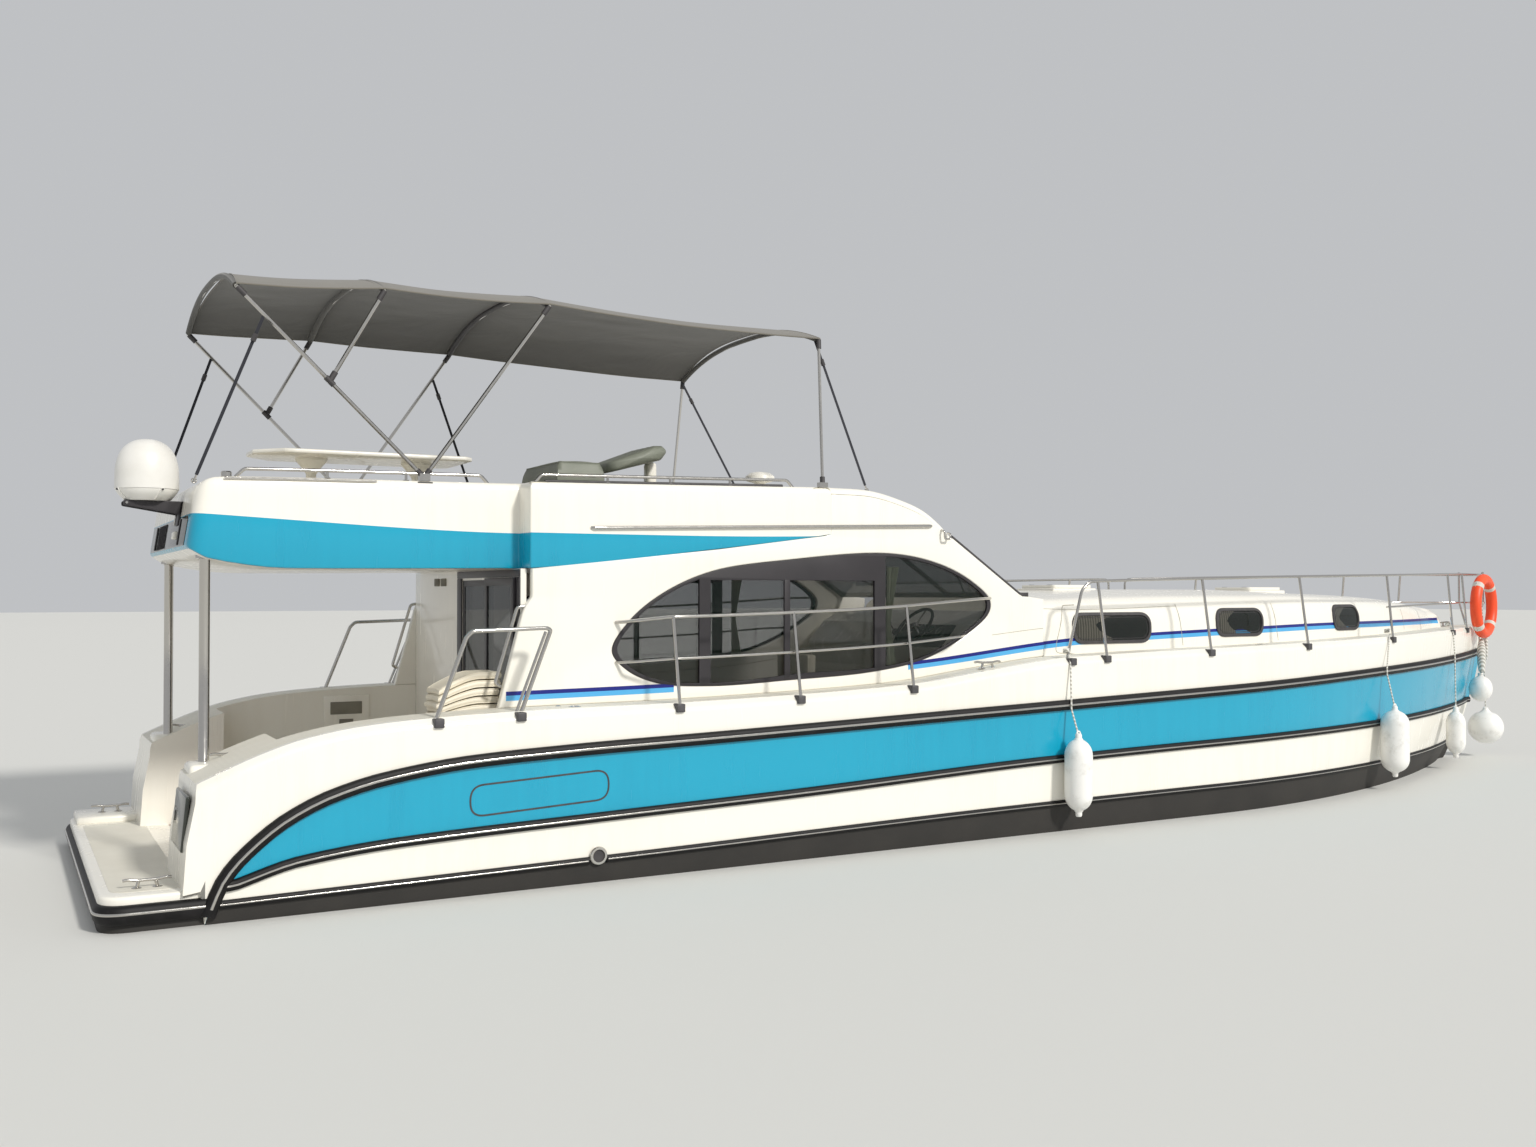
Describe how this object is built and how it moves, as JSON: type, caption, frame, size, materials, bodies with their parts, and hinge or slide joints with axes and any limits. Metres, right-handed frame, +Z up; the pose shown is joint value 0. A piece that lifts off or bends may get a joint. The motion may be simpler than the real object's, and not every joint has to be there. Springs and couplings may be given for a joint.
{
  "type": "river motor cruiser",
  "caption": "Inland motor cruiser with a banded hull, eye-shaped saloon windows, a flybridge under a folding sun canopy, a bathing platform and rails to the bow.",
  "frame": {"origin": "amidships on the centreline, at the height of the water the boat floats in", "axes": "+X towards the bow, +Y to port, +Z up"},
  "size_m": [14.942, 3.6636, 4.894],
  "materials": {
    "teal_gelcoat": "polished polyester gelcoat over glass fibre, teal above the lower rail, white below it",
    "white_gelcoat": "cream white polyester gelcoat over glass fibre, lightly chalked",
    "black_rubber": "extruded black rubber, satin",
    "bronze": "cast bronze, machined",
    "antifouling": "dull black antifouling paint on steel",
    "engine_paint": "grey engine enamel",
    "dark_frame": "dark powder coated aluminium",
    "tinted_glass": "green tinted toughened glass",
    "stainless": "polished stainless steel tube",
    "sofa_cloth": "beige woven upholstery",
    "cushion_cloth": "cream coated deck cushion cloth",
    "cabinet_wood": "varnished brown veneer",
    "dome_plastic": "white moulded plastic",
    "canvas": "taupe woven acrylic canvas",
    "fender_vinyl": "inflated white vinyl",
    "buoy_orange": "orange foam skin with pale bands"
  },
  "bodies": {
    "boat": {"hull": "teal_gelcoat", "deck_moulding": "white_gelcoat", "rub_rail_upper": "black_rubber", "rub_rail_lower": "black_rubber", "boot_rail": "black_rubber", "swim_platform": "white_gelcoat", "platform_rail": "black_rubber", "engine_block": "engine_paint", "cabin_side_stb": "white_gelcoat", "cabin_side_port": "white_gelcoat", "window_frame_stb": "dark_frame", "window_frame_port": "dark_frame", "side_glass_stb": "tinted_glass", "side_glass_port": "tinted_glass", "flybridge": "white_gelcoat", "windscreen_frame": "dark_frame", "windscreen_glass": "tinted_glass", "coachroof": "white_gelcoat", "aft_bulkhead": "white_gelcoat", "door_fixed_pane": "tinted_glass", "post_stb": "stainless", "post_port": "stainless", "saloon_sofa": "sofa_cloth", "saloon_cabinet": "cabinet_wood", "helm_console": "white_gelcoat", "helm_seat": "sofa_cloth", "fly_console": "white_gelcoat", "fly_helm_seat": "cushion_cloth", "fly_sofa": "cushion_cloth", "fly_table": "white_gelcoat", "aerial_bracket": "dark_frame", "aerial_dome": "dome_plastic", "canopy": "canvas", "canopy_frame": "stainless", "canopy_front_frame": "stainless", "side_rail_stb": "stainless", "side_rail_port": "stainless", "bow_rail_stb": "stainless", "bow_rail_port": "stainless", "boarding_hoop_stb": "stainless", "boarding_hoop_port": "stainless", "cushion_stack": "cushion_cloth", "fender_mid": "fender_vinyl", "fender_bow": "fender_vinyl", "fender_fore": "fender_vinyl", "ball_fender_low": "fender_vinyl", "ball_fender_high": "fender_vinyl", "lifebuoy": "buoy_orange"},
    "propeller": {"propeller": "bronze"},
    "rudder": {"rudder": "antifouling"},
    "helm_wheel": {"helm_wheel": "black_rubber"},
    "fly_wheel": {"fly_wheel": "black_rubber"},
    "door": {"door_sliding_frame": "dark_frame", "door_sliding_glass": "tinted_glass"},
    "fore_hatch_lid": {"fore_hatch_lid": "tinted_glass"},
    "mid_hatch_lid": {"mid_hatch_lid": "tinted_glass"},
    "engine_hatch_lid": {"engine_hatch_lid": "white_gelcoat"}
  },
  "joints": [
    {"name": "propeller_turn", "type": "hinge", "parent": "boat", "child": "propeller", "pos_m": [-6.23, 0, -0.5], "axis": [1, 0, 0], "continuous": true},
    {"name": "rudder_turn", "type": "hinge", "parent": "boat", "child": "rudder", "pos_m": [-6.62, 0, -0.5], "axis": [0, 0, 1], "range_deg": [-35, 35]},
    {"name": "helm_wheel_turn", "type": "hinge", "parent": "boat", "child": "helm_wheel", "pos_m": [-1.1992, -0.6, 1.6203], "axis": [0.7433, 0, -0.669], "range_deg": [-810, 810]},
    {"name": "fly_wheel_turn", "type": "hinge", "parent": "boat", "child": "fly_wheel", "pos_m": [-3.0695, -0.65, 2.5404], "axis": [0.7682, 0, -0.6402], "range_deg": [-810, 810]},
    {"name": "door_slide", "type": "slide", "parent": "boat", "child": "door", "axis": [0, 1, 0], "range_m": [0, 0.58]},
    {"name": "fore_hatch_hinge", "type": "hinge", "parent": "boat", "child": "fore_hatch_lid", "pos_m": [3.72, 0, 1.9283], "axis": [0, 1, 0], "range_deg": [0, 80]},
    {"name": "mid_hatch_hinge", "type": "hinge", "parent": "boat", "child": "mid_hatch_lid", "pos_m": [1.12, 0, 1.9443], "axis": [0, 1, 0], "range_deg": [0, 80]},
    {"name": "engine_hatch_hinge", "type": "hinge", "parent": "boat", "child": "engine_hatch_lid", "pos_m": [-4.99, 0, 0.2003], "axis": [0, 1, 0], "range_deg": [0, 85]}
  ],
  "couplings": [
    {"joint": "rudder_turn", "follows": "helm_wheel_turn", "ratio": 0.0432}
  ]
}
